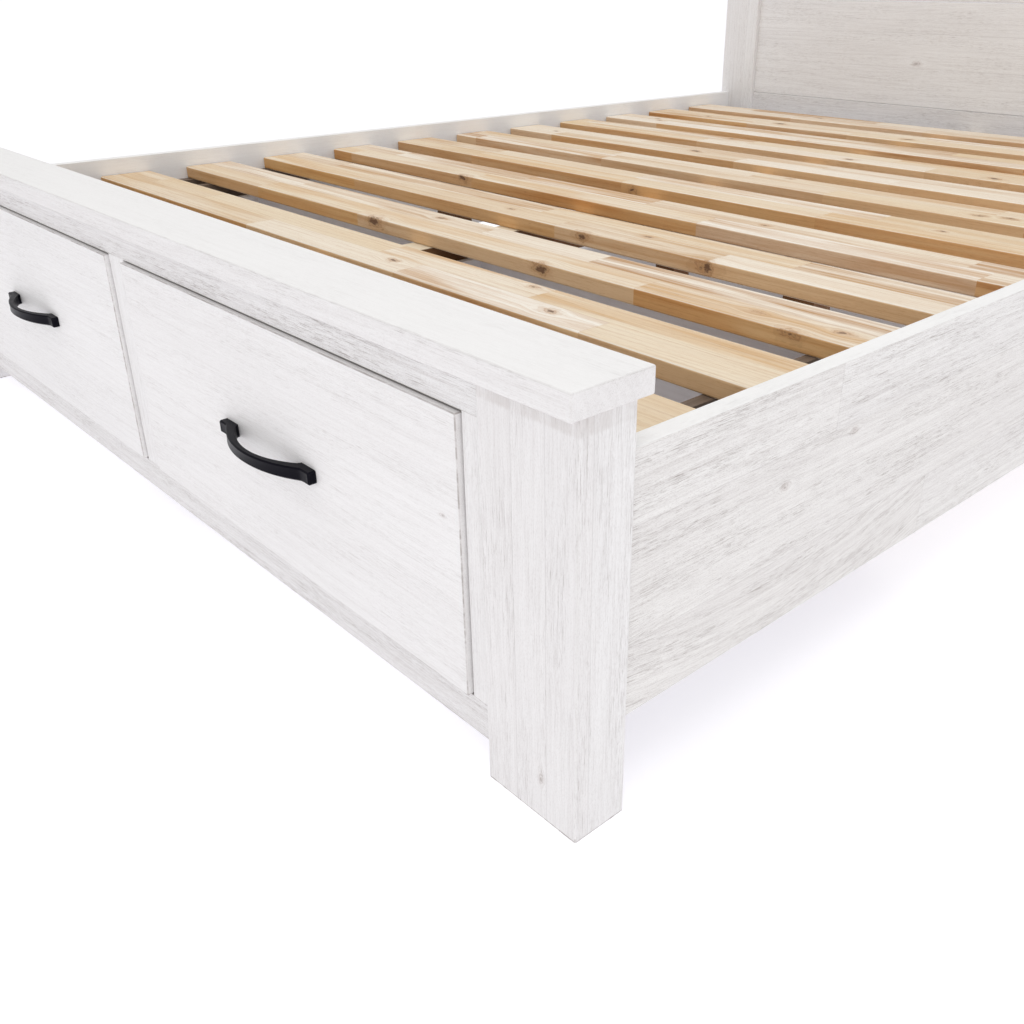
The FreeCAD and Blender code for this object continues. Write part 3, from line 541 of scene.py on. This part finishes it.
def dress_whitewashed():
    """Every whitewashed board, with its grain along its length."""
    post = {"seams": (0.039, 0.076), "layer": 14 * MM, "grain": 0.72, "tone": 0.965,
            "ease": 2 * MM, "wear": 0.08, "foot_wear": 0.8}
    # The foot posts carry a painted shadow of the cap across their tops.
    foot_post = {**post, "cap_shadow_depth": 14 * MM}
    front_knot = [(0.042, 0.069, 0.0, 2.6 * MM)]
    # The rails' tops are painted brighter, as lit from above.
    rail = {"tone": 0.99, "warm": 0.016, "seams": (0.071, 0.178), "grain": 1.2,
            "lit_faces": [(1, 0.85)]}
    right_ends = ((0, 0.469), (2, 0.278), (1, 0.93), (0, 1.21), (2, 1.36), (1, 1.74))
    left_ends = ((0, 0.38), (1, 0.62), (2, 0.95), (0, 1.30), (1, 1.52), (2, 1.71))
    # Painted shade on the sides of the drawer fronts inside the gaps.
    sides = [(1, is_high, 5.7 * MM, 0.4) for is_high in (False, True)]
    drawer = {"grain": 0.55, "ease": 1 * MM, "wear": 0.7, "gap_shade_sides": sides}
    # The cap's top is painted brighter, as lit from above.
    cap = {"grain": 0.65, "tone": 0.97, "wear": 0.13, "ease": 2 * MM, "lit_faces": [(2, 0.62)]}
    cross = {"grain": 1.15, "tone": 0.97}
    # Painted shade on the rails' faces inside the gaps round the drawers.
    lintel, sill = [(1, False, 0.5 * MM, 0.4)], [(1, True, 0.5 * MM, 0.4)]
    stile = {"grain": 0.6, "wear": 0.1}
    plank = {"grain": 0.9, "seams": (0.09, 0.17)}
    table = {
        "foot_post_left": (UPRIGHT, foot_post),
        "foot_post_right": (UPRIGHT, {**foot_post, "knots": front_knot}),
        "head_post_left": (UPRIGHT, {**post, "knots": [(0.52, 0.07, 0.057, 5 * MM)]}),
        "head_post_right": (UPRIGHT, {**post, "knots": [(0.83, 0.04, 0.0, 5 * MM)]}),
        "footboard_cap": (FLAT, cap),
        "headboard_cap": (FLAT, cap),
        "footboard_top_rail": (CROSS, {**cross, "gap_shade_sides": lintel}),
        "footboard_bottom_rail": (CROSS, {**cross, "gap_shade_sides": sill}),
        "footboard_stile_left": (UPRIGHT, stile),
        "footboard_stile_right": (UPRIGHT, stile),
        "footboard_stile_centre": (UPRIGHT, stile),
        # The left rail's top and inner face are painted brighter, as lit.
        "side_rail_left": (LONG, {**rail, "ends": left_ends, "lit_faces": [(1, 0.85), (2, 0.8)],
                                  "knots": [(0.9, 0.15, 0.0, 4 * MM)]}),
        "side_rail_right": (LONG, {
            **rail, "ends": right_ends, "arch": (0.20, 0.469, 0.071, 0.45),
            "knots": [(0.205, 0.145, 0.02, 2.4 * MM), (0.310, 0.170, 0.02, 2.2 * MM),
                      (1.3, 0.06, 0.02, 4 * MM)]}),
        "drawer_front_left": (CROSS, {**drawer, "knots": [(0.2, 0.2, 0.0, 2.5 * MM)]}),
        "drawer_front_right": (CROSS, {**drawer, "knots": [(0.615, 0.172, 0.0, 1.6 * MM)]}),
        "headboard_top_rail": (CROSS, cross),
        "headboard_bottom_rail": (CROSS, cross),
        "headboard_plank_lower": (CROSS, {**plank, "knots": [(0.5, 0.1, 0.0, 5 * MM)]}),
        "headboard_plank_middle": (CROSS, {**plank, "knots": [(1.1, 0.05, 0.0, 5 * MM)]}),
        "headboard_plank_upper": (CROSS, {**plank, "knots": [(0.3, 0.18, 0.0, 5 * MM)]}),
    }
    for seed, (node, (axes, look)) in enumerate(table.items(), start=1):
        dress(node, whitewash(node, axes, seed, look))


def slat_knots(number, seed, size):
    """The knots of one slat: those on its top are at its full thickness, and those on its
    front face are at 0 across. The slats with no list get three at random."""
    length, width, thick = size
    seen = {
        2: [(0.893, 0.036, thick, 5 * MM), (1.117, 0.083, thick, 4 * MM),
            (1.202, 0.030, thick, 5.5 * MM)],
        3: [(0.654, 0.0, 0.016, 9 * MM), (1.034, 0.0, 0.014, 7 * MM),
            (1.427, 0.0, 0.018, 5.5 * MM), (0.726, 0.072, thick, 5 * MM),
            (1.362, 0.028, thick, 4.5 * MM), (1.47, 0.034, thick, 5 * MM)],
        4: [(0.94, 0.0, 0.014, 6 * MM), (1.173, 0.0, 0.012, 8 * MM),
            (1.033, 0.045, thick, 4 * MM), (0.746, 0.03, thick, 4 * MM)],
        5: [(0.448, 0.0, 0.018, 7 * MM), (1.1, 0.06, thick, 4 * MM)],
        6: [(0.725, 0.0, 0.011, 5 * MM), (1.3, 0.05, thick, 4 * MM)],
    }
    if number in seen:
        return seen[number]
    dice = random.Random(seed)
    spots = []
    for _ in range(3):
        along, across = dice.uniform(0.06, length - 0.06), dice.uniform(0.1, 0.9) * width
        spots.append((along, across, thick, dice.uniform(4, 8) * MM))
    return spots


def dress_raw():
    """Slats in jointed acacia, brown supports, housing boards and pale drawer boxes."""
    slats = sorted(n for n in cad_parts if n.startswith("slat_") and n[5:].isdigit())
    for seed, node in enumerate(slats, start=SLAT_SEED):
        low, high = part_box(node)
        number = int(node[5:])
        knots = slat_knots(number, seed, high - low)
        look = ACACIA if number < FIRST_FAR_SLAT else FAR_ACACIA
        dress(node, raw_wood("acacia_" + node, node, FLAT, seed, look, knots))
    boards = {
        "centre_beam": (BEAM_WAY, BEAM),
        "centre_legs": (UPRIGHT, BROWN), "slat_legs": (UPRIGHT, BROWN),
        "slat_cleat_left": (LONG, CLEAT), "slat_cleat_right": (LONG, CLEAT),
        "housing_side_left": (LONG, CLEAT), "housing_side_right": (LONG, CLEAT),
        "housing_partition": (LONG, CLEAT), "housing_back_rail": (CROSS, CLEAT),
        "runner_battens": (LONG, BROWN),
    }
    for side in ("left", "right"):
        boards[f"drawer_back_{side}"] = (CROSS, BOX)
        boards[f"drawer_side_inner_{side}"] = (LONG, BOX)
        boards[f"drawer_side_outer_{side}"] = (LONG, BOX)
    for seed, (node, (axes, look)) in enumerate(boards.items(), start=BOARD_SEED):
        dress(node, raw_wood("wood_" + node, node, axes, seed, look))


def dress_hardware():
    """Runners, brackets, screws and drawer bottoms."""
    zinc = plain("zinc", (0.62, 0.62, 0.61), 0.38, 0.6 * MM, 0.02 * MM, Metallic=0.9)
    cream = plain("powder_coat", (0.80, 0.79, 0.75), 0.42, 1.2 * MM, 0.03 * MM)
    board = plain("hardboard", (0.93, 0.92, 0.96), 0.6, 1.5 * MM, 0.04 * MM)
    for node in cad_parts:
        if "screws" in node or "bolts" in node or "brackets" in node:
            dress(node, zinc)
        elif node == "runner_channels" or node.startswith("drawer_runners"):
            dress(node, cream)
        elif node.startswith("drawer_bottom"):
            dress(node, board)


# ---------------------------------------------------------------- handles

FOOT_END, FOOT_FLAT = 26 * MM, 15.5 * MM
FOOT_DEPTH, INNER_FOOT_DEPTH = 9.2 * MM, 2 * MM
FLARE, FLARE_SWELL = 5 * MM, 0.25 * MM
STRAP, CHAMFER = 6.5 * MM, 1.5 * MM
TIP_TRIM, TIP = 1.4 * MM, 4 * MM
STRAP_STEPS = 88
SHARP_ANGLE = math.radians(28)


def arc_depth(x, half, start, apex):
    """Depth at x of an arc that stands at start at x = half and at apex in the middle."""
    rise = apex - start
    radius = (half * half + rise * rise) / (2 * rise)
    return apex - radius + math.sqrt(radius * radius - x * x)


def handle_slice(x, half_length, reach, half_height):
    """Depth and height of the points round a handle's section at x, from 0 at its middle."""
    foot, flat = half_length - FOOT_END, half_length - FOOT_FLAT
    far = abs(x)
    front = FOOT_DEPTH
    if far < flat:
        front = arc_depth(far, flat, front, reach)
    if abs(far - flat) < FLARE:
        blend = (flat + FLARE - far) / (2 * FLARE)
        front += FLARE_SWELL * (1 - abs(2 * blend - 1))
    back = arc_depth(far, foot, INNER_FOOT_DEPTH, reach - STRAP) if far < foot else 0.0
    waist = 1 - 0.07 * (0.5 + 0.5 * math.cos(math.pi * min(1.0, far / flat)))
    tall = half_height * waist
    end = half_length - far
    trim = max(0.0, TIP_TRIM - end)
    front, tall = front - trim, tall - trim
    chamfer = min(CHAMFER, (front - back) / 3)
    hollow = 0.35 * MM * waist if end > TIP else 0.0
    round_back = min(0.7 * MM, (front - back) / 4) if back else 0.0
    rim = tall - chamfer
    points = [(back, tall - round_back), (back + round_back, tall), (front - chamfer, tall)]
    points += [(front - 0.3 * chamfer, rim + 0.3 * chamfer), (front, rim)]
    points += [(front - hollow * 0.7, rim * 0.6), (front - hollow, rim * 0.2)]
    return points + [(depth, -z) for depth, z in reversed(points)]


def make_handle(side, material):
    """A cast bow handle: flared feet, a waisted strap, a dished face and broken edges."""
    node = f"handle_{side}"
    low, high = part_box(node)
    middle, face = (low.x + high.x) / 2, high.y
    centre = (low.z + high.z) / 2
    half_length, half_height, reach = (high.x - low.x) / 2, (high.z - low.z) / 2, high.y - low.y
    tips = [half_length, half_length - TIP_TRIM / 2, half_length - TIP_TRIM]
    inner = half_length - TIP
    strap = [inner * (1 - 2 * step / STRAP_STEPS) for step in range(STRAP_STEPS + 1)]
    stations = tips + strap + [-tip for tip in reversed(tips)]
    stations += [sign * (half_length - FOOT_END + 0.01 * MM) for sign in (1, -1)]
    stations.sort(reverse=True)
    shape = bmesh.new()
    loops = []
    for x in stations:
        section = handle_slice(x, half_length, reach, half_height)
        points = [(middle + x, face - depth, centre + z) for depth, z in section]
        loops.append([shape.verts.new(point) for point in points])
    for first, second in zip(loops, loops[1:]):
        for number in range(len(first)):
            following = (number + 1) % len(first)
            shape.faces.new((first[number], second[number], second[following], first[following]))
    shape.faces.new(loops[0])
    shape.faces.new(list(reversed(loops[-1])))
    bmesh.ops.recalc_face_normals(shape, faces=shape.faces)
    mesh = bpy.data.meshes.new(f"bow_{side}")
    shape.to_mesh(mesh)
    shape.free()
    mesh.materials.append(material)
    mesh.shade_smooth()
    piece = bpy.data.objects.new(f"bow_{side}", mesh)
    bpy.context.scene.collection.objects.link(piece)
    mesh.set_sharp_from_angle(angle=SHARP_ANGLE)
    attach(piece, f"drawer_{side}")
    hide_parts(node)


# ---------------------------------------------------------------- floor

# The floor's glow, how much of it is lost beneath the bed, where it is a painted shadow, and how far
# inside the sides of the CAD box, (axis, from the low side, from the high side), that loss sets in.
GLOW, GLOW_LOST = 0.68, 0.64
GLOW_FADE = 0.17
GLOW_INSETS = ((X, 0.0, 0.25), (Y, 0.25, 0.05))


def make_floor():
    """A wide pale studio floor that glows faintly, as a light table does, with a painted shadow
    beneath the bed: less glow and a darker colour.
    """
    mesh = bpy.data.meshes.new("floor")
    reach = 120.0
    corners = [(-reach, -reach, 0), (reach, -reach, 0), (reach, reach, 0), (-reach, reach, 0)]
    mesh.from_pydata(corners, [], [(0, 1, 2, 3)])
    floor = bpy.data.objects.new("floor", mesh)
    bpy.context.scene.collection.objects.link(floor)
    g = Graph("studio_floor")
    place = g.add("ShaderNodeTexCoord").outputs["Object"]
    cloud = g.fade(g.noise(place, (1.5, 1.5, 1.5), 2.0, 0.5), 0.3, 0.7)
    pale = g.mix(cloud, (0.60, 0.60, 0.585), (0.615, 0.615, 0.60))
    low, high = Vector(CAD_BOX[0]), Vector(CAD_BOX[1])
    parts = g.split(place)
    inside = 1.0
    for axis, low_inset, high_inset in GLOW_INSETS:
        first, last = low[axis] + low_inset, high[axis] - high_inset
        past_low = g.fade(parts[axis], first, first + GLOW_FADE)
        short = g.fade(parts[axis], last, last - GLOW_FADE)
        inside = g.product(inside, past_low, short)
    # Painted shadow beneath the bed: the glow is cut there and the floor is painted a darker
    # lavender grey.
    glow = g.math("SUBTRACT", GLOW, g.product(inside, GLOW_LOST))
    g.feed(g.shader.inputs["Emission Strength"], glow)
    shade = g.mix(inside, pale, (0.50, 0.49, 0.52))
    mesh.materials.append(g.finish(shade, 0.85, Emission_Color=(0.90, 0.89, 0.97, 1)))


make_camera()
make_light()
make_floor()
dress_whitewashed()
dress_raw()
dress_hardware()
iron = plain("black_iron", (0.0050, 0.0045, 0.0095), 0.34, 0.7 * MM, 0.05 * MM, 0.6,
             Specular_IOR_Level=0.07)
make_handle("left", iron)
make_handle("right", iron)
